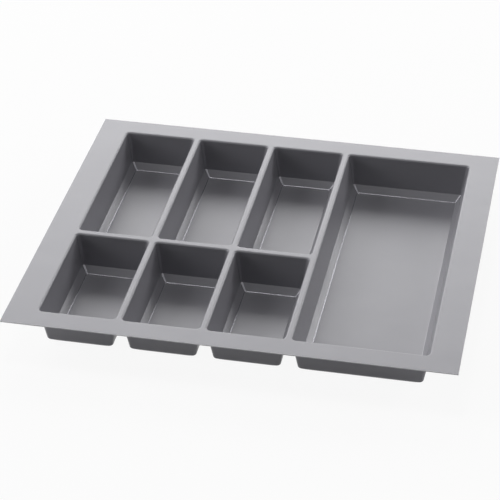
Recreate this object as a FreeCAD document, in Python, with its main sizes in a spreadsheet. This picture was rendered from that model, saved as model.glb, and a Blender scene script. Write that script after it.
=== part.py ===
"""Cutlery tray for a kitchen drawer: one thin plastic sheet formed into a flat deck with seven wells."""

import FreeCAD
import Part
import math
import os
import Sketcher

# Driving dimensions in millimetres. The rims, the three narrow columns and the short wells keep their
# sizes; the wide well and the long wells take the room that the trimmed outline leaves.
SIZES = {
    "tray_width": 520.0,
    "tray_depth": 473.5,
    "sheet": 1.2,
    "left_rim": 37.0,
    "right_rim": 35.4,
    "front_rim": 29.0,
    "back_rim": 29.0,
    "column_width": 89.8,
    "divider": 7.9,
    "cross_divider": 9.2,
    "short_length": 166.1,
    "wall_depth": 39.4,
    "wall_inset": 7.2,
    "chamfer_height": 8.4,
    "chamfer_width": 6.6,
    "mouth_roll": 2.5,
    "lip_land": 0.5,
    "mouth_corner": 5.0,
    "crease_corner": 2.6,
    "floor_corner": 1.6,
    "crease_round": 1.4,
    "floor_round": 1.0,
    "wall_sheet": 1.5,
    "foot_sheet": 2.0,
    "foot_height": 6.2,
    "foot_spread": 0.4,
    "foot_crease_corner": 4.3,
    "foot_floor_corner": 3.9,
    "foot_round": 3.5,
}

# Two heights closer than this are the same level.
LEVEL_TOLERANCE = 0.0001

# Side by side columns of small wells to the left of the wide well, named from left to right.
COLUMN_NAMES = ("left", "middle", "right")


def size(name):
    """The expression that reads one driving dimension."""
    return "Sizes." + name


# The sheet stretches least round the foot of a well, where it meets the mould first, so the outside is
# not a plain offset of the inside: it leans less than the inside and turns over a lower, softer foot.
SHEET = size("sheet")
WELL_DEPTH = "({} + {})".format(size("wall_depth"), size("chamfer_height"))
DECK_TOP = "({} + {})".format(WELL_DEPTH, SHEET)
WALL_SLOPE = "({} / {})".format(size("wall_inset"), size("wall_depth"))
FLOOR_INSET = "({} + {})".format(size("wall_inset"), size("chamfer_width"))
FOOT_DEPTH = "({} - {})".format(DECK_TOP, size("foot_height"))

# Each ring of a well: how deep it lies under the deck's top, how far it steps in from the mouth
# and its corner radius. The first set is the inside that cutlery touches, the second the outside.
INNER_RINGS = (
    ("0", "0", size("mouth_corner")),
    (size("wall_depth"), size("wall_inset"), size("crease_corner")),
    (WELL_DEPTH, FLOOR_INSET, size("floor_corner")),
)
OUTER_RINGS = (
    (SHEET, "({} * {} - {})".format(WALL_SLOPE, SHEET, size("wall_sheet")),
     "({} + {})".format(size("mouth_corner"), size("wall_sheet"))),
    (FOOT_DEPTH, "({} * {} - {})".format(WALL_SLOPE, FOOT_DEPTH, size("foot_sheet")),
     size("foot_crease_corner")),
    (DECK_TOP, "({} - {})".format(FLOOR_INSET, size("foot_spread")), size("foot_floor_corner")),
)

# The lip is the rolled edge of the mouth with a narrow flat land, where it runs into the deck.
LIP = "({} + {})".format(size("mouth_roll"), size("lip_land"))
LIP_CORNER = "({} + {})".format(size("mouth_corner"), LIP)


def fill_sheet(doc):
    """Write the driving dimensions into the spreadsheet, one named row each."""
    sheet = doc.addObject("Spreadsheet::Sheet", "Sizes")
    for row, (name, value) in enumerate(SIZES.items(), start=1):
        sheet.set("A{}".format(row), name)
        sheet.set("B{}".format(row), str(value))
        sheet.setAlias("B{}".format(row), name)
    doc.recompute()


def well_plan():
    """Name, left edge, front edge, width and length of the seven wells, as expressions."""
    pitch = "({} + {})".format(size("column_width"), size("divider"))
    columns = "{} * {}".format(len(COLUMN_NAMES), pitch)
    behind = "({} + {} + {})".format(size("front_rim"), size("short_length"), size("cross_divider"))
    full_length = "({} - {} - {})".format(size("tray_depth"), size("front_rim"), size("back_rim"))
    long_length = "({} - {} - {})".format(full_length, size("short_length"), size("cross_divider"))
    wide_width = "({} - {} - {} - {})".format(
        size("tray_width"), size("left_rim"), size("right_rim"), columns)
    plan = []
    for column, side in enumerate(COLUMN_NAMES):
        left = "({} + {} * {})".format(size("left_rim"), column, pitch)
        plan.append(("long_well_" + side, left, behind, size("column_width"), long_length))
        plan.append(("short_well_" + side, left, size("front_rim"),
                     size("column_width"), size("short_length")))
    left = "({} + {})".format(size("left_rim"), columns)
    plan.append(("wide_well", left, size("front_rim"), wide_width, full_length))
    return plan


def well_centre(left, front, width, length):
    """The middle of a well, counted from the middle of the tray."""
    across = "{} + {} / 2 - {} / 2".format(left, width, size("tray_width"))
    along = "{} + {} / 2 - {} / 2".format(front, length, size("tray_depth"))
    return across, along


def stepped_in(full, inset):
    """A width or length with the same inset taken off both ends."""
    return "({} - 2 * {})".format(full, inset)


def ground_sketch(body, name, centre, height):
    """A sketch on the body's level plane, moved to a centre and a height."""
    plane = [item for item in body.Origin.OriginFeatures if item.Role == "XY_Plane"][0]
    sketch = body.newObject("Sketcher::SketchObject", name)
    sketch.AttachmentSupport = [(plane, "")]
    sketch.MapMode = "FlatFace"
    for axis, value in zip("xyz", (centre[0], centre[1], height)):
        sketch.setExpression("AttachmentOffset.Base." + axis, value)
    return sketch


def drive(sketch, index, name, expression):
    """Name a constraint and let a driving dimension set it."""
    sketch.renameConstraint(index, name)
    sketch.setExpression("Constraints." + name, expression)


def rounded_rectangle(body, name, centre, height, width, length, corner):
    """A rectangle with four equal round corners, centred on its sketch."""
    sketch = ground_sketch(body, name, centre, height)
    # A first drawing of about the right size; the constraints below pull it into place.
    radius = SIZES["mouth_corner"]
    half_width = SIZES["column_width"] / 2
    half_length = SIZES["short_length"] / 2
    quarter = math.pi / 2
    up = FreeCAD.Vector(0, 0, 1)
    arcs = []
    for turn, (right, back) in enumerate(((1, -1), (1, 1), (-1, 1), (-1, -1))):
        middle = FreeCAD.Vector(right * (half_width - radius), back * (half_length - radius), 0)
        circle = Part.Circle(middle, up, radius)
        arcs.append(Part.ArcOfCircle(circle, (turn - 1) * quarter, turn * quarter))
    arc_ids = [sketch.addGeometry(arc, False) for arc in arcs]
    line_ids = []
    for arc, following in zip(arcs, arcs[1:] + arcs[:1]):
        side = Part.LineSegment(arc.EndPoint, following.StartPoint)
        line_ids.append(sketch.addGeometry(side, False))
    start, end, middle = 1, 2, 3
    for order, line in enumerate(line_ids):
        following = arc_ids[(order + 1) % len(arc_ids)]
        sketch.addConstraint(Sketcher.Constraint("Tangent", arc_ids[order], end, line, start))
        sketch.addConstraint(Sketcher.Constraint("Tangent", line, end, following, start))
        direction = "Vertical" if order % 2 == 0 else "Horizontal"
        sketch.addConstraint(Sketcher.Constraint(direction, line))
    for arc in arc_ids[1:]:
        sketch.addConstraint(Sketcher.Constraint("Equal", arc_ids[0], arc))
    origin = -1
    sketch.addConstraint(Sketcher.Constraint(
        "Symmetric", arc_ids[0], middle, arc_ids[2], middle, origin, start))
    right_side, back_side, left_side, front_side = line_ids
    drive(sketch, sketch.addConstraint(Sketcher.Constraint("Radius", arc_ids[0], radius)),
          "corner", corner)
    drive(sketch, sketch.addConstraint(Sketcher.Constraint(
        "DistanceX", left_side, start, right_side, start, 2 * half_width)), "across", width)
    drive(sketch, sketch.addConstraint(Sketcher.Constraint(
        "DistanceY", front_side, start, back_side, start, 2 * half_length)), "along", length)
    return sketch


def rectangle(body, name, height, width, length):
    """A plain rectangle centred on the body."""
    sketch = ground_sketch(body, name, ("0", "0"), height)
    half_width = SIZES["tray_width"] / 2
    half_length = SIZES["tray_depth"] / 2
    signs = ((-1, -1), (1, -1), (1, 1), (-1, 1))
    points = [FreeCAD.Vector(right * half_width, back * half_length, 0) for right, back in signs]
    sides = []
    for here, there in zip(points, points[1:] + points[:1]):
        sides.append(sketch.addGeometry(Part.LineSegment(here, there), False))
    start, end, origin = 1, 2, -1
    for order, side in enumerate(sides):
        following = sides[(order + 1) % len(sides)]
        sketch.addConstraint(Sketcher.Constraint("Coincident", side, end, following, start))
        direction = "Horizontal" if order % 2 == 0 else "Vertical"
        sketch.addConstraint(Sketcher.Constraint(direction, side))
    sketch.addConstraint(Sketcher.Constraint(
        "Symmetric", sides[0], start, sides[2], start, origin, start))
    front, right = sides[0], sides[1]
    drive(sketch, sketch.addConstraint(Sketcher.Constraint(
        "DistanceX", front, start, front, end, 2 * half_width)), "across", width)
    drive(sketch, sketch.addConstraint(Sketcher.Constraint(
        "DistanceY", right, start, right, end, 2 * half_length)), "along", length)
    return sketch


def ring_edges(feature, height, ring):
    """The edges of a feature that lie level at one height, no further out than a ring's own box."""
    names = []
    for number, edge in enumerate(feature.Shape.Edges, start=1):
        box = edge.BoundBox
        level = abs(box.ZMin - height) < LEVEL_TOLERANCE and abs(box.ZMax - height) < LEVEL_TOLERANCE
        within_width = max(abs(box.XMin), abs(box.XMax)) < ring.XMax + LEVEL_TOLERANCE
        within_length = max(abs(box.YMin), abs(box.YMax)) < ring.YMax + LEVEL_TOLERANCE
        if level and within_width and within_length:
            names.append("Edge{}".format(number))
    return names


def round_ring(body, name, feature, ring_sketch, radius):
    """Round the ring of edges that one sketch of the loft left on the shape."""
    height = ring_sketch.AttachmentOffset.Base.z
    fillet = body.newObject("PartDesign::Fillet", name)
    fillet.Base = (feature, ring_edges(feature, height, ring_sketch.Shape.BoundBox))
    fillet.setExpression("Radius", radius)
    return fillet


def loft_rings(body, kind, name, rings, width, length):
    """A ruled loft through the rings of a well, and its sketches from the mouth down."""
    sketches = []
    for depth, inset, corner in rings:
        height = "{} - {}".format(DECK_TOP, depth)
        sketches.append(rounded_rectangle(
            body, name + "Ring", ("0", "0"), height,
            stepped_in(width, inset), stepped_in(length, inset), corner))
    loft = body.newObject(kind, name)
    loft.Profile = sketches[0]
    loft.Sections = sketches[1:]
    loft.Ruled = True
    return loft, sketches


def build_well(doc, label, left, front, width, length):
    """One well: a rolled lip, drafted walls, a chamfer all round and a flat floor."""
    body = doc.addObject("PartDesign::Body", label)
    body.Label = label
    for axis, value in zip("xy", well_centre(left, front, width, length)):
        body.setExpression("Placement.Base." + axis, value)
    lip_outline = rounded_rectangle(
        body, "LipOutline", ("0", "0"), WELL_DEPTH,
        "({} + 2 * {})".format(width, LIP), "({} + 2 * {})".format(length, LIP), LIP_CORNER)
    lip = body.newObject("PartDesign::Pad", "Lip")
    lip.Profile = lip_outline
    lip.setExpression("Length", SHEET)
    doc.recompute()

    outside, outer = loft_rings(body, "PartDesign::AdditiveLoft", "Outside", OUTER_RINGS, width, length)
    doc.recompute()
    # Under the lip the outside bends about the same centre as the inside, one wall thickness tighter.
    outer_rounds = (
        "{} - {}".format(size("mouth_roll"), size("wall_sheet")),
        size("foot_round"),
        size("foot_round"),
    )
    feature = outside
    for ring_sketch, radius in zip(outer, outer_rounds):
        feature = round_ring(body, "OuterRound", feature, ring_sketch, radius)
        doc.recompute()

    inside, inner = loft_rings(body, "PartDesign::SubtractiveLoft", "Inside", INNER_RINGS, width, length)
    doc.recompute()
    inner_rounds = (size("mouth_roll"), size("crease_round"), size("floor_round"))
    feature = inside
    for ring_sketch, radius in zip(inner, inner_rounds):
        feature = round_ring(body, "InnerRound", feature, ring_sketch, radius)
        doc.recompute()
    body.Tip = feature
    return body


def build_deck(doc, plan):
    """The flat top: rims and divider tops in one plate, open where each well's lip meets it."""
    body = doc.addObject("PartDesign::Body", "deck")
    body.Label = "deck"
    outline = rectangle(body, "TrimOutline", WELL_DEPTH, size("tray_width"), size("tray_depth"))
    plate = body.newObject("PartDesign::Pad", "Plate")
    plate.Profile = outline
    plate.setExpression("Length", SHEET)
    doc.recompute()
    feature = plate
    for label, left, front, width, length in plan:
        opening = rounded_rectangle(
            body, "Opening", well_centre(left, front, width, length), DECK_TOP,
            "({} + 2 * {})".format(width, LIP), "({} + 2 * {})".format(length, LIP), LIP_CORNER)
        feature = body.newObject("PartDesign::Pocket", "OpeningCut")
        feature.Profile = opening
        feature.Type = "ThroughAll"
        doc.recompute()
    body.Tip = feature
    return body


def check_document(doc):
    """Stop if any feature failed or any solid is not sound."""
    for item in doc.Objects:
        if "Invalid" in item.State or "Error" in item.State:
            raise RuntimeError("{} did not build".format(item.Name))
        shape = getattr(item, "Shape", None)
        if item.isDerivedFrom("PartDesign::Feature") and (shape.isNull() or not shape.isValid()):
            raise RuntimeError("{} has no sound shape".format(item.Name))


def main():
    doc = FreeCAD.newDocument("cutlery_tray")
    fill_sheet(doc)
    plan = well_plan()
    bodies = [build_deck(doc, plan)]
    for well in plan:
        bodies.append(build_well(doc, *well))
    doc.recompute()
    check_document(doc)
    os.makedirs("parts", exist_ok=True)
    for body in bodies:
        if len(body.Shape.Solids) != 1:
            raise RuntimeError("{} is not one solid".format(body.Label))
        body.Shape.exportStep("parts/{}.step".format(body.Label))
        box = body.Shape.BoundBox
        print(body.Label, round(body.Shape.Volume), "mm3", [round(v, 2) for v in (
            box.XMin, box.XMax, box.YMin, box.YMax, box.ZMin, box.ZMax)])


main()
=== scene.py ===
# %% [markdown]
# This lesson dresses a cutlery tray for a kitchen drawer. The real tray begins as one flat sheet of grey
# plastic. The sheet is warmed until it sags, drawn down over a mould into seven wells, and trimmed square.
# The CAD model already holds the true sizes, so the work here is what the eye looks for on a formed sheet:
# mouths that roll over, crisp creases, a fine satin grain, and the soft light of a photo studio.

# %% Load the frame
import math

import bmesh
import bpy
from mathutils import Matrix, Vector


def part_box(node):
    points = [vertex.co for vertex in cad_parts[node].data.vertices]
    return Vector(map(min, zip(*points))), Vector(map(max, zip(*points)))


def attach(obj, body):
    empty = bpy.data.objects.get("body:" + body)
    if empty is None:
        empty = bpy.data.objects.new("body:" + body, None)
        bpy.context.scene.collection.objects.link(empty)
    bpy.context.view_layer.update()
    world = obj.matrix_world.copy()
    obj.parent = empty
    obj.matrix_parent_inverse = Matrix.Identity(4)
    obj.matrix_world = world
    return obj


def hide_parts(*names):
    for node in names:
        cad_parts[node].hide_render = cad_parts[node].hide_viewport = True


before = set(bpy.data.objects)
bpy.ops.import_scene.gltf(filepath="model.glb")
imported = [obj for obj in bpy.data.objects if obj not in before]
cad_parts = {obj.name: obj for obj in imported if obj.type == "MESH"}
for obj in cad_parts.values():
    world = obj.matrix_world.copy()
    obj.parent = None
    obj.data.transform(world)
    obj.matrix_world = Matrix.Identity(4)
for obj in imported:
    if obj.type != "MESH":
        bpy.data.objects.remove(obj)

# The import leaves every CAD node selected, and an operator acts on all that is selected.
bpy.ops.object.select_all(action="DESELECT")
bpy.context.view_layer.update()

# %% [markdown]
# The camera stands where the photographer stood: in front of the tray, a little to its right, some two and a
# half metres away, looking down by a little over a third of a right angle. A long lens from far off keeps
# the rims nearly parallel, which is how a catalogue shows a flat thing. The numbers come from fitting a
# pinhole camera to the corners of the rim and of the wells, so those fall on their places in the picture.

# %% Camera
CAMERA_SPOT = (0.38384, -2.02619, 1.37127)
CAMERA_TURN = math.radians(11.23)
CAMERA_TILT = math.radians(33.11)
SENSOR_WIDTH = 36.0
FOCAL_PIXELS = 2033.0
PICTURE_PIXELS = 500

bpy.ops.object.camera_add(
    location=CAMERA_SPOT, rotation=(math.pi / 2 - CAMERA_TILT, 0, CAMERA_TURN))
camera = bpy.context.object
camera.name = "catalogue_camera"
camera.data.sensor_width = SENSOR_WIDTH
camera.data.lens = SENSOR_WIDTH * FOCAL_PIXELS / PICTURE_PIXELS
bpy.context.scene.camera = camera
bpy.context.scene.view_settings.view_transform = "Standard"
print("Lens in millimetres:", round(camera.data.lens, 1))

# %% [markdown]
# A finish is a tree of nodes, and sums are hard to read as a tree. This small class wraps one output socket,
# so that a sum can be written as Python writes it, such as 1 - mask * 0.5, and each sign adds its Math node.
# Every other node comes from one method: its kind, its settings, and then what goes into its sockets.


# %% A socket that can do sums
class Wire:
    """One output socket of a node tree."""

    def __init__(self, socket):
        self.socket = socket
        self.tree = socket.id_data

    @staticmethod
    def node(tree, kind, settings=None, inputs=None, output=0):
        """Add a node, set it up, feed its sockets and give back one of its outputs."""
        made = tree.nodes.new(kind)
        for name, value in (settings or {}).items():
            if name == "stops":
                for place, stop in enumerate(value):
                    ramp = made.color_ramp.elements
                    point = ramp[place] if place < len(ramp) else ramp.new(stop[0])
                    point.position, point.color = stop
            else:
                setattr(made, name, value)
        for name, value in (inputs or {}).items():
            if isinstance(value, Wire):
                tree.links.new(value.socket, made.inputs[name])
            else:
                made.inputs[name].default_value = value
        return Wire(made.outputs[output]) if made.outputs else None

    def sum(self, operation, first, second):
        """Add a Math node."""
        return Wire.node(self.tree, "ShaderNodeMath", {"operation": operation}, {0: first, 1: second})

    def __add__(self, other):
        return self.sum("ADD", self, other)

    def __sub__(self, other):
        return self.sum("SUBTRACT", self, other)

    def __rsub__(self, other):
        return self.sum("SUBTRACT", other, self)

    def __mul__(self, other):
        return self.sum("MULTIPLY", self, other)

    def __gt__(self, other):
        return self.sum("GREATER_THAN", self, other)

    __radd__ = __add__
    __rmul__ = __mul__


def fresh_tree(owner):
    """An empty node tree for a material or a world."""
    owner.use_nodes = True
    owner.node_tree.nodes.clear()
    return owner.node_tree


print("Signs that add a node:", "+ - * >")

# %% [markdown]
# The picture shows the tray on plain white. A white that comes from more lamps would also bleach the plastic,
# so the floor and the air only look white: a Light Path node tells a ray from the camera, or from a glossy or
# clear surface, apart from the rays that carry light around. The floor keeps part of its own shading, so the
# tray still throws a pale shadow and does not float. It lies a hair below the tray, because two faces at the
# same height flicker.

# %% White floor
FLOOR_SIDE = 9.0
FLOOR_LEVEL = -0.0001
FLOOR_PAINT = (0.9, 0.9, 0.9, 1.0)
FLOOR_WHITENESS = 0.92
WHITE, FULL = (1.0, 1.0, 1.0, 1.0), 1.0
HALF = 0.5


def seen_directly(tree):
    """One for rays from the camera and from glossy or clear surfaces, nought for light on its way round."""
    path = tree.nodes.new("ShaderNodeLightPath")
    kinds = ("Is Camera Ray", "Is Glossy Ray", "Is Transmission Ray")
    camera_ray, glossy_ray, clear_ray = (Wire(path.outputs[kind]) for kind in kinds)
    return camera_ray + glossy_ray + clear_ray > HALF


bpy.ops.mesh.primitive_plane_add(size=FLOOR_SIDE, location=(0, 0, FLOOR_LEVEL))
floor = bpy.context.object
floor.name = "studio_floor"

floor_paint = bpy.data.materials.new("floor_paint")
tree = fresh_tree(floor_paint)
matt = Wire.node(tree, "ShaderNodeBsdfDiffuse", inputs={"Color": FLOOR_PAINT})
glow = Wire.node(tree, "ShaderNodeEmission", inputs={"Color": WHITE, "Strength": FULL})
mixed = Wire.node(tree, "ShaderNodeMixShader",
                  inputs={0: seen_directly(tree) * FLOOR_WHITENESS, 1: matt, 2: glow})
Wire.node(tree, "ShaderNodeOutputMaterial", inputs={"Surface": mixed})
floor.data.materials.append(floor_paint)
print("Floor side in metres:", FLOOR_SIDE)

# %% [markdown]
# In the picture the rims are bright, the wall of each well that faces the camera is dark, and its floor goes
# from dark at the back to bright at the front. That is soft light from low behind the tray, with little from
# the front. So a large softbox stands behind and one behind to the right, both some four metres off, so that
# the light hardly falls off over the tray. Weaker ones at the sides reach the walls that those leave dark.
# One in front on the left grazes the walls at the back, and a small one overhead draws the thin bright line
# along each fold.

# %% Studio light
TRAY_MIDDLE = Vector((0, 0, 0.03))
LAMPS = (
    ("behind", (-0.9, 3.75, 1.9), (3.8, 2.4), 104.0),
    ("behind_right", (2.7, 3.35, 1.65), (2.2, 1.4), 62.0),
    ("left", (-3.3, 0.4, 2.2), (1.8, 1.8), 59.0),
    ("front_left", (-3.4, -1.7, 1.4), (1.8, 1.4), 19.0),
    ("right", (3.5, 0.8, 1.9), (1.8, 1.8), 20.0),
    ("overhead", (-0.6, 0.6, 4.3), (1.3, 0.7), 28.0),
)

air = bpy.data.worlds.new("studio_air")
bpy.context.scene.world = air
tree = fresh_tree(air)
sky = Wire.node(tree, "ShaderNodeBackground", inputs={"Color": WHITE, "Strength": seen_directly(tree)})
Wire.node(tree, "ShaderNodeOutputWorld", inputs={"Surface": sky})

for name, spot, (lamp_width, lamp_height), power in LAMPS:
    aim = (TRAY_MIDDLE - Vector(spot)).to_track_quat("-Z", "Y").to_euler()
    bpy.ops.object.light_add(type="AREA", location=spot, rotation=aim)
    lamp = bpy.context.object
    lamp.name = "softbox_" + name
    lamp.data.shape = "RECTANGLE"
    lamp.data.size, lamp.data.size_y = lamp_width, lamp_height
    lamp.data.energy = power
    lamp.visible_camera = False
    print(lamp.name, "at", spot, "with", power, "watts")

# %% [markdown]
# A formed well is one profile carried round a rounded rectangle: flat lip, rolled mouth, a wall that leans in
# so that the tray leaves its mould, a chamfer along the foot of the wall, and a flat floor. The inside keeps
# the crisp shape of the mould. The outside is fuller and rounder at the foot, because the sheet stays thick
# where it touched the mould first. So there are two profiles, and each size in them is the CAD model's own.

# %% Sizes of the formed sheet
MM = 0.001
SHEET = 1.2 * MM
CORNER_STEPS = 10
MOUTH_CORNER, LIP = 5.0 * MM, 3.0 * MM
LIP_CORNER = MOUTH_CORNER + LIP

# A profile starts at the lip's outline: how far below the top it lies, how far in its mouth is, then each
# drop with its step in and the corner radius there, and last the rounds of its folds from the mouth down.
INSIDE = {
    "below": 0.0,
    "lip": LIP,
    "drops": ((39.4 * MM, 7.2 * MM, 2.6 * MM), (8.4 * MM, 6.6 * MM, 1.6 * MM)),
    "rounds": (2.5 * MM, 1.4 * MM, 1.0 * MM),
}
OUTSIDE = {
    "below": SHEET,
    "lip": 1.72 * MM,
    "drops": ((41.6 * MM, 7.1 * MM, 4.3 * MM), (6.2 * MM, 7.58 * MM, 3.9 * MM)),
    "rounds": (1.0 * MM, 3.5 * MM, 3.5 * MM),
}
ROUND_STEPS = (8, 5, 5)


def slopes(profile):
    """How steep each drop of a profile is."""
    return [math.atan2(depth, inset) for depth, inset, _ in profile["drops"]]


for profile in (INSIDE, OUTSIDE):
    print("Wall and chamfer in degrees:", [round(math.degrees(slope), 1) for slope in slopes(profile)])

# %% [markdown]
# Working by hand, a modeller clicks the edges that a tool should act on. A script has no mouse, so it picks
# them by where they are: all edges at one height, or all points of one corner. These two helpers do that.

# %% Pick by place
NEAR = 0.002 * MM


def pick(piece, kind, test):
    """In edit mode, select only the points, edges or faces of a piece that pass a test."""
    bpy.ops.mesh.select_mode(type=kind)
    bpy.ops.mesh.select_all(action="DESELECT")
    shape = bmesh.from_edit_mesh(piece.data)
    shape.normal_update()
    chosen = [part for part in {"VERT": shape.verts, "EDGE": shape.edges, "FACE": shape.faces}[kind]
              if test(part)]
    for part in chosen:
        part.select_set(True)
    bmesh.update_edit_mesh(piece.data)
    return len(chosen)


def at_height(height):
    """A test for an edge or a face that lies level at one height."""
    return lambda part: all(abs(point.co.z - height) < NEAR for point in part.verts)


print("Places closer than", NEAR, "metres count as the same")

# %% [markdown]
# Every well starts as a flat sheet with round corners, as large as its lip. Bevelling the four points of a
# plane gives those corners as true arcs. The same outline is cut out of the deck later, point for point, so
# that the two pieces meet without a gap.


# %% A flat sheet with round corners
def round_corners(centre, width, length, corner):
    """Stretch the selected unit sheet about its centre and round its four corners."""
    bpy.ops.transform.resize(value=(width, length, 1), center_override=centre)
    bpy.ops.mesh.bevel(offset=corner, segments=CORNER_STEPS, affect="VERTICES")


def lip_outline(node):
    """Centre, width and length of a well's lip, from the CAD node's box."""
    low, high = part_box(node)
    return Vector(((low.x + high.x) / 2, (low.y + high.y) / 2, high.z)), high.x - low.x, high.y - low.y


def new_sheet(name, centre):
    """Add a unit sheet at its place, with the place kept in its mesh, and open it for editing."""
    bpy.ops.object.select_all(action="DESELECT")
    bpy.ops.mesh.primitive_plane_add(size=1, location=centre)
    piece = bpy.context.object
    piece.name = piece.data.name = name
    bpy.ops.object.transform_apply(location=True, rotation=True, scale=True)
    bpy.ops.object.mode_set(mode="EDIT")
    bpy.ops.mesh.select_all(action="SELECT")
    return piece


print("Widest lip in millimetres:", round(lip_outline("wide_well")[1] / MM, 1))

# %% [markdown]
# The well is drawn down the way the mould does it. The sheet is inset by the lip, and its middle is extruded
# down to the crease and again to the floor. After each extrusion the four corners step in towards the middle
# and tighten: each corner's points shrink about the centre of their own arc and then slide. An inset could
# not do this, because the wall leans in by more than the corner's radius and the arc would turn inside out.


# %% Draw a well down
def draw_down(well, centre, half, level, depth, inset, corners):
    """Extrude the selected middle of a sheet down by a depth, then step its corners in."""
    bpy.ops.mesh.extrude_region_move(TRANSFORM_OT_translate={"value": (0, 0, -depth)})
    level -= depth
    loose, tight = corners
    for right in (-1, 1):
        for back in (-1, 1):
            pick(well, "VERT", lambda point: (
                abs(point.co.z - level) < NEAR
                and (point.co.x - centre.x) * right > 0 and (point.co.y - centre.y) * back > 0))
            arc_centre = (centre.x + right * (half[0] - loose), centre.y + back * (half[1] - loose), level)
            bpy.ops.transform.resize(value=(tight / loose, tight / loose, 1), center_override=arc_centre)
            slide = inset + tight - loose
            bpy.ops.transform.translate(value=(-right * slide, -back * slide, 0))
    pick(well, "FACE", at_height(level))
    return level, (half[0] - inset, half[1] - inset)


def sharp_skin(name, node, profile):
    """One side of a well with sharp folds: lip, wall, chamfer and floor as a skin without thickness."""
    centre, width, length = lip_outline(node)
    centre.z -= profile["below"]
    skin = new_sheet(name, centre)
    round_corners(centre, width, length, LIP_CORNER)
    pick(skin, "FACE", at_height(centre.z))
    bpy.ops.mesh.inset(thickness=profile["lip"], depth=0)
    half = (width / 2 - profile["lip"], length / 2 - profile["lip"])
    levels, corner = [centre.z], LIP_CORNER - profile["lip"]
    for depth, inset, tight in profile["drops"]:
        level, half = draw_down(skin, centre, half, levels[-1], depth, inset, (corner, tight))
        levels.append(level)
        corner = tight
    return skin, levels


print("Corner of a lip in millimetres:", round(LIP_CORNER / MM, 1))

# %% [markdown]
# A sheet cannot fold to a knife edge, so each fold becomes a round. The mouth rolls over softly, while the
# crease and the foot of the chamfer stay crisp and catch a thin line of light. A bevel does this: its width
# is the round's radius times the tangent of half the turn, which is where the round meets the two faces.

# %% Round the folds
FOLD_ANGLE = math.radians(15)


def round_fold(skin, level, radius, turn, steps):
    """Roll the fold at one level into a round of a given radius."""
    flat = at_height(level)
    pick(skin, "EDGE", lambda edge: flat(edge) and edge.calc_face_angle(0) > FOLD_ANGLE)
    bpy.ops.mesh.bevel(offset=radius * math.tan(turn / 2), segments=steps, affect="EDGES")


def rounded_skin(name, node, profile):
    """One side of a well with all its folds rounded, from the floor up, left open for editing."""
    skin, levels = sharp_skin(name, node, profile)
    wall, chamfer = slopes(profile)
    turns = (wall, wall - chamfer, chamfer)
    for fold in (2, 1, 0):
        round_fold(skin, levels[fold], profile["rounds"][fold], turns[fold], ROUND_STEPS[fold])
    return skin, levels


print("Folds rounded with this many steps from the mouth down:", ROUND_STEPS)

# %% [markdown]
# The finish is not the same all over. Where the sheet was pulled tight, round the floor and up the corners of
# the chamfers, its skin is stretched smooth and shines, and least so along the right. The chamfers at the two
# sides lie in shallow waves. A painter would mask such places off. Here the faces are marked by their slope,
# and the material reads the marks.

# %% Mark the foot of a well
TIGHT, CHAMFER = "tight_fold", "chamfer"
# How far up a floor faces, how far both ways a mitre faces, and how near a slope is to the chamfer's own.
LEVEL, MITRE, SAME_SLOPE = 0.999, 0.2, 0.02
# How tight the folds are along the left and the right of a floor and up the mitres. At the back it is 1.
LEFT_FOLD, RIGHT_FOLD, MITRE_FOLD = 0.8, 0.2, 0.55


def mark_foot(skin, crease):
    """Write on the faces below the crease how much of a tight fold and of a chamfer they are."""
    chamfer_up = math.cos(slopes(INSIDE)[1])
    shape = bmesh.from_edit_mesh(skin.data)
    shape.normal_update()
    for kind in (TIGHT, CHAMFER):
        shape.faces.layers.float.new(kind)
    tight, chamfer = (shape.faces.layers.float[kind] for kind in (TIGHT, CHAMFER))
    for face in shape.faces:
        across, along, up = (abs(part) for part in face.normal)
        if face.calc_center_median().z > crease or up > LEVEL:
            continue
        if min(across, along) > MITRE:
            face[tight] = MITRE_FOLD
        elif abs(up - chamfer_up) < SAME_SLOPE:
            face[chamfer] = 1.0 if across > along else 0.0
        elif up > chamfer_up:
            side_fold = LEFT_FOLD if face.normal.x > 0 else RIGHT_FOLD
            face[tight] = 1.0 if along > across else side_fold
    bmesh.update_edit_mesh(skin.data)
    return sum(face[tight] > 0 for face in shape.faces), sum(face[chamfer] > 0 for face in shape.faces)


print("Marks that the material reads:", TIGHT, CHAMFER)

# %% [markdown]
# The two skins make one closed shell: the outside is turned inside out so that it faces away from the
# plastic, both are joined, and a bridge closes the narrow band between the two lip outlines. Weighted normals
# then let the wide faces shade flat and leave the turning of the light to the rounds.

# %% Close a well
SMOOTH_ANGLE = math.radians(35)


def shade(piece):
    """Smooth the rounds and keep the flat faces flat."""
    bpy.ops.object.shade_smooth_by_angle(angle=SMOOTH_ANGLE)
    weights = piece.modifiers.new("flat faces", "WEIGHTED_NORMAL")
    weights.keep_sharp = True
    bpy.ops.object.modifier_apply(modifier=weights.name)


def form_well(node):
    """The finished well that stands for one CAD node."""
    outside, _ = rounded_skin("outside", node, OUTSIDE)
    bpy.ops.mesh.select_all(action="SELECT")
    bpy.ops.mesh.flip_normals()
    bpy.ops.object.mode_set(mode="OBJECT")
    well, levels = rounded_skin("formed_" + node, node, INSIDE)
    print("Tight and chamfer faces of", well.name, mark_foot(well, levels[1]))
    bpy.ops.object.mode_set(mode="OBJECT")
    outside.select_set(True)
    bpy.ops.object.join()
    bpy.ops.object.mode_set(mode="EDIT")
    pick(well, "EDGE", lambda edge: edge.is_boundary)
    bpy.ops.mesh.bridge_edge_loops()
    bpy.ops.object.mode_set(mode="OBJECT")
    shade(well)
    return well


def reach(piece):
    """Lowest and highest corner of a finished piece in millimetres."""
    points = [point.co for point in piece.data.vertices]
    return [[round(pull(point[axis] for point in points) / MM, 3) for axis in range(3)]
            for pull in (min, max)]


def open_edges(piece):
    """How many edges of a finished piece do not lie between exactly two faces."""
    shape = bmesh.new()
    shape.from_mesh(piece.data)
    count = sum(not edge.is_contiguous for edge in shape.edges)
    shape.free()
    return count


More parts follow.
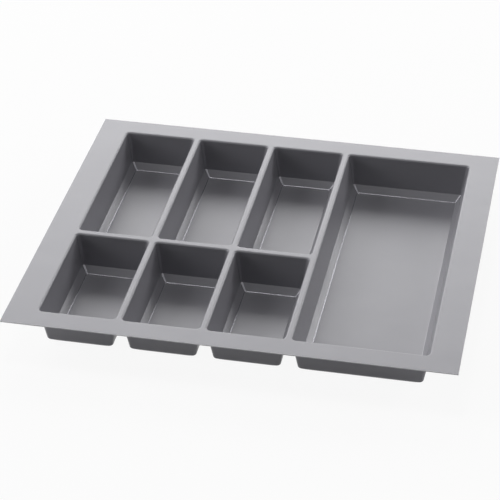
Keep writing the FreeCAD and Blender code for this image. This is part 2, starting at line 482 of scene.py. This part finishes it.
print("Folds under this many degrees shade smooth:", round(math.degrees(SMOOTH_ANGLE)))

# %% [markdown]
# The mould has three sizes of well: long for table cutlery, short for small cutlery, and wide for kitchen
# tools. One of each is formed here and measured. A piece is sound when every edge lies
# between exactly two faces.

# %% Form the three sizes of well
formed = {}
for node in ("long_well_left", "short_well_left", "wide_well"):
    formed[node] = form_well(node)
    print(formed[node].name, reach(formed[node]), "open edges:", open_edges(formed[node]))

# %% [markdown]
# The three long wells are alike, and so are the three short ones, because the mould repeats them. Each is
# copied with a mesh of its own and slid to the next column; applying the move puts the place into the mesh.


# %% Copy the wells along the row
def copy_well(source, node):
    """A copy of a finished well, moved to where another CAD node is."""
    first, shift = formed[source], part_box(node)[0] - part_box(source)[0]
    bpy.ops.object.select_all(action="DESELECT")
    first.select_set(True)
    bpy.context.view_layer.objects.active = first
    bpy.ops.object.duplicate(linked=False)
    copy = bpy.context.object
    copy.name = copy.data.name = "formed_" + node
    bpy.ops.transform.translate(value=shift)
    bpy.ops.object.transform_apply(location=True, rotation=True, scale=True)
    return copy


for row in ("long_well_", "short_well_"):
    for column in ("middle", "right"):
        formed[row + column] = copy_well(row + "left", row + column)
        print(formed[row + column].name, reach(formed[row + column]))

# %% [markdown]
# What is left of the flat sheet is the deck: a broad rim on all four sides and the tops of the dividers. Its
# outline and the seven lip outlines are drawn as bare edges, and one fill closes the sheet between them. A
# cut with a boolean would give the same plate, but the fill keeps the points of the lips where they are.

# %% Fill the deck between the wells
deck_low, deck_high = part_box("deck")
deck_width, deck_depth = deck_high.x - deck_low.x, deck_high.y - deck_low.y
deck_centre = Vector((0, 0, deck_high.z))
deck = new_sheet("formed_deck", deck_centre)
bpy.ops.transform.resize(value=(deck_width, deck_depth, 1), center_override=deck_centre)
for node in formed:
    centre, width, length = lip_outline(node)
    bpy.ops.mesh.primitive_plane_add(size=1, location=centre)
    round_corners(centre, width, length, LIP_CORNER)
pick(deck, "FACE", lambda face: True)
bpy.ops.mesh.delete(type="ONLY_FACE")
pick(deck, "EDGE", lambda edge: True)
bpy.ops.mesh.fill(use_beauty=True)
faces_down = pick(deck, "FACE", lambda face: face.normal.z < 0)
if faces_down:
    bpy.ops.mesh.flip_normals()
bpy.ops.object.mode_set(mode="OBJECT")
sheet = deck.modifiers.new("sheet", "SOLIDIFY")
sheet.thickness = SHEET
sheet.offset = -1
bpy.ops.object.modifier_apply(modifier=sheet.name)
formed["deck"] = deck
print("Deck faces turned up:", faces_down, "of", len(deck.data.polygons))

# %% [markdown]
# The blade that trims the sheet leaves a clean edge, but no plastic edge is perfectly sharp. A bevel of a
# quarter of a millimetre on the outer edges is enough to catch a thread of light along the rim. The faces of
# the cut are marked for the material, as the folds were, which paints them paler: painted light on a shaded
# edge.

# %% Soften the trimmed edge
TRIM_SOFTNESS, TRIM_STEPS = 0.25 * MM, 2
CUT = "cut_edge"


def on_trim(edge):
    """An edge along the outside of the sheet, where the blade cut it."""
    across = all(abs(abs(point.co.x) - deck_width / 2) < NEAR for point in edge.verts)
    along = all(abs(abs(point.co.y) - deck_depth / 2) < NEAR for point in edge.verts)
    return (across or along) and edge.calc_face_angle(0) > SMOOTH_ANGLE


bpy.ops.object.mode_set(mode="EDIT")
trimmed = pick(deck, "EDGE", on_trim)
bpy.ops.mesh.bevel(offset=TRIM_SOFTNESS, segments=TRIM_STEPS, affect="EDGES")
bpy.ops.object.mode_set(mode="OBJECT")
shade(deck)
# The cut faces are marked here to be painted paler: painted light that lifts the trimmed edge out of its
# shade.
cut = deck.data.attributes.new(CUT, "FLOAT", "FACE")
for face in deck.data.polygons:
    cut.data[face.index].value = 1.0 if abs(face.normal.z) < LEVEL else 0.0
print("Trimmed edges softened:", trimmed, reach(deck), "open edges:", open_edges(deck))

# %% [markdown]
# The plastic is a mid grey with a hint of violet, coloured right through, with a pearly pigment and a satin
# skin. Its colour drifts by a few hundredths over the sheet and carries tiny flecks of pigment. The cut faces
# are painted paler, as painted light that lifts the shaded edge. The same drift and flecks leave the skin a
# little duller or shinier from place to place. Tight folds are smoother and more pearly, which gives them
# their thin line of light.

# %% Colour and sheen of the plastic
GREY = (0.237, 0.235, 0.257, 1.0)
PALE_GREY = (0.262, 0.259, 0.283, 1.0)
# A paler grey for the cut faces: painted light that lifts the shaded trimmed edge.
CUT_PAINTED_LIGHT_GREY = (0.6, 0.595, 0.62, 1.0)
DRIFT_SCALE, FLECK_SCALE = 14.0, 1500.0
FLECK_SHARE = 0.3
SATIN, TIGHT_SATIN = 0.38, 0.22
DRIFT_SHEEN, FLECK_SHEEN = 0.08, 0.06
PEARL, TIGHT_PEARL = 0.07, 0.7
# Noise with one layer is soft and with two is crisper, and it swings about a half.
SOFT, CRISP, MIDDLE = 1.0, 2.0, 0.5
# A Mix node has sockets for every kind of value. These are the ones for colours.
COLOUR_A, COLOUR_B, COLOUR_OUT = 6, 7, 2

plastic = bpy.data.materials.new("satin_grey_plastic")
tree = fresh_tree(plastic)
place = Wire.node(tree, "ShaderNodeTexCoord", output="Object")


def noise(spot, scale, detail):
    """Soft random blotches, about one metre over the scale in size, from 0 to 1."""
    return Wire.node(tree, "ShaderNodeTexNoise", inputs={"Vector": spot, "Scale": scale, "Detail": detail})


def mark(name):
    """What was written on the faces, from 0 to 1."""
    return Wire.node(tree, "ShaderNodeAttribute", {"attribute_name": name}, output="Fac")


def blend(share, first, second):
    """A colour between two colours."""
    return Wire.node(tree, "ShaderNodeMix", {"data_type": "RGBA"},
                     {"Factor": share, COLOUR_A: first, COLOUR_B: second}, output=COLOUR_OUT)


drift, fleck = noise(place, DRIFT_SCALE, CRISP), noise(place, FLECK_SCALE, SOFT)
tone = drift * (1 - FLECK_SHARE) + fleck * FLECK_SHARE
# The cut faces take the paler grey, as painted light on the shaded edge.
colour = blend(mark(CUT), blend(tone, GREY, PALE_GREY), CUT_PAINTED_LIGHT_GREY)
tight = mark(TIGHT)
roughness = (SATIN + tight * (TIGHT_SATIN - SATIN)
             + (drift - MIDDLE) * DRIFT_SHEEN + (fleck - MIDDLE) * FLECK_SHEEN)
pearl = PEARL + tight * (TIGHT_PEARL - PEARL)
print("Nodes for colour and sheen:", len(tree.nodes))

# %% [markdown]
# Up close the rolled sheet has a fine grain, like very small leather, and it has cooled a little unevenly, so
# that broad faces are never perfectly flat. Both are too small to model and go into the bump. On the side
# chamfers the normal is raised a little, more in one place than in another, because the sheet lies there in
# long shallow waves: that turns them to the light and leaves soft streaks.

# %% Relief of the plastic
SAG_SCALE, SAG_STRENGTH, SAG_HEIGHT = 28.0, 0.5, 0.6 * MM
GRAIN_SCALE, GRAIN_STRENGTH, GRAIN_HEIGHT = 1300.0, 0.25, 0.04 * MM
WAVE_SCALE = (70.0, 16.0, 130.0)
UNSCALED = 1.0
LEAN, WAVE = 0.3, 0.34


def bump(height, strength, distance, normal):
    """A normal that is roughened by a height."""
    return Wire.node(tree, "ShaderNodeBump", inputs={
        "Strength": strength, "Distance": distance, "Height": height, "Normal": normal})


stretched = Wire.node(tree, "ShaderNodeMapping", inputs={"Vector": place, "Scale": WAVE_SCALE})
lift = mark(CHAMFER) * (LEAN + (noise(stretched, UNSCALED, SOFT) - MIDDLE) * WAVE)
upward = Wire.node(tree, "ShaderNodeCombineXYZ", inputs={"Z": lift})
facing = Wire.node(tree, "ShaderNodeNewGeometry", output="Normal")
facing = Wire.node(tree, "ShaderNodeVectorMath", {"operation": "ADD"}, {0: facing, 1: upward})
facing = Wire.node(tree, "ShaderNodeVectorMath", {"operation": "NORMALIZE"}, {0: facing})
relief = bump(noise(place, SAG_SCALE, SOFT), SAG_STRENGTH, SAG_HEIGHT, facing)
relief = bump(noise(place, GRAIN_SCALE, CRISP), GRAIN_STRENGTH, GRAIN_HEIGHT, relief)
skin = Wire.node(tree, "ShaderNodeBsdfPrincipled", inputs={
    "Base Color": colour, "Roughness": roughness, "Metallic": pearl, "Normal": relief})
Wire.node(tree, "ShaderNodeOutputMaterial", inputs={"Surface": skin})
print("Nodes in all:", len(tree.nodes))

# %% [markdown]
# Last, each piece gets the plastic, is tied to the CAD body that carries it, and stands in for its CAD node.

# %% Hand over
for node, piece in formed.items():
    piece.data.materials.clear()
    piece.data.materials.append(plastic)
    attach(piece, "root")
    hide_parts(node)
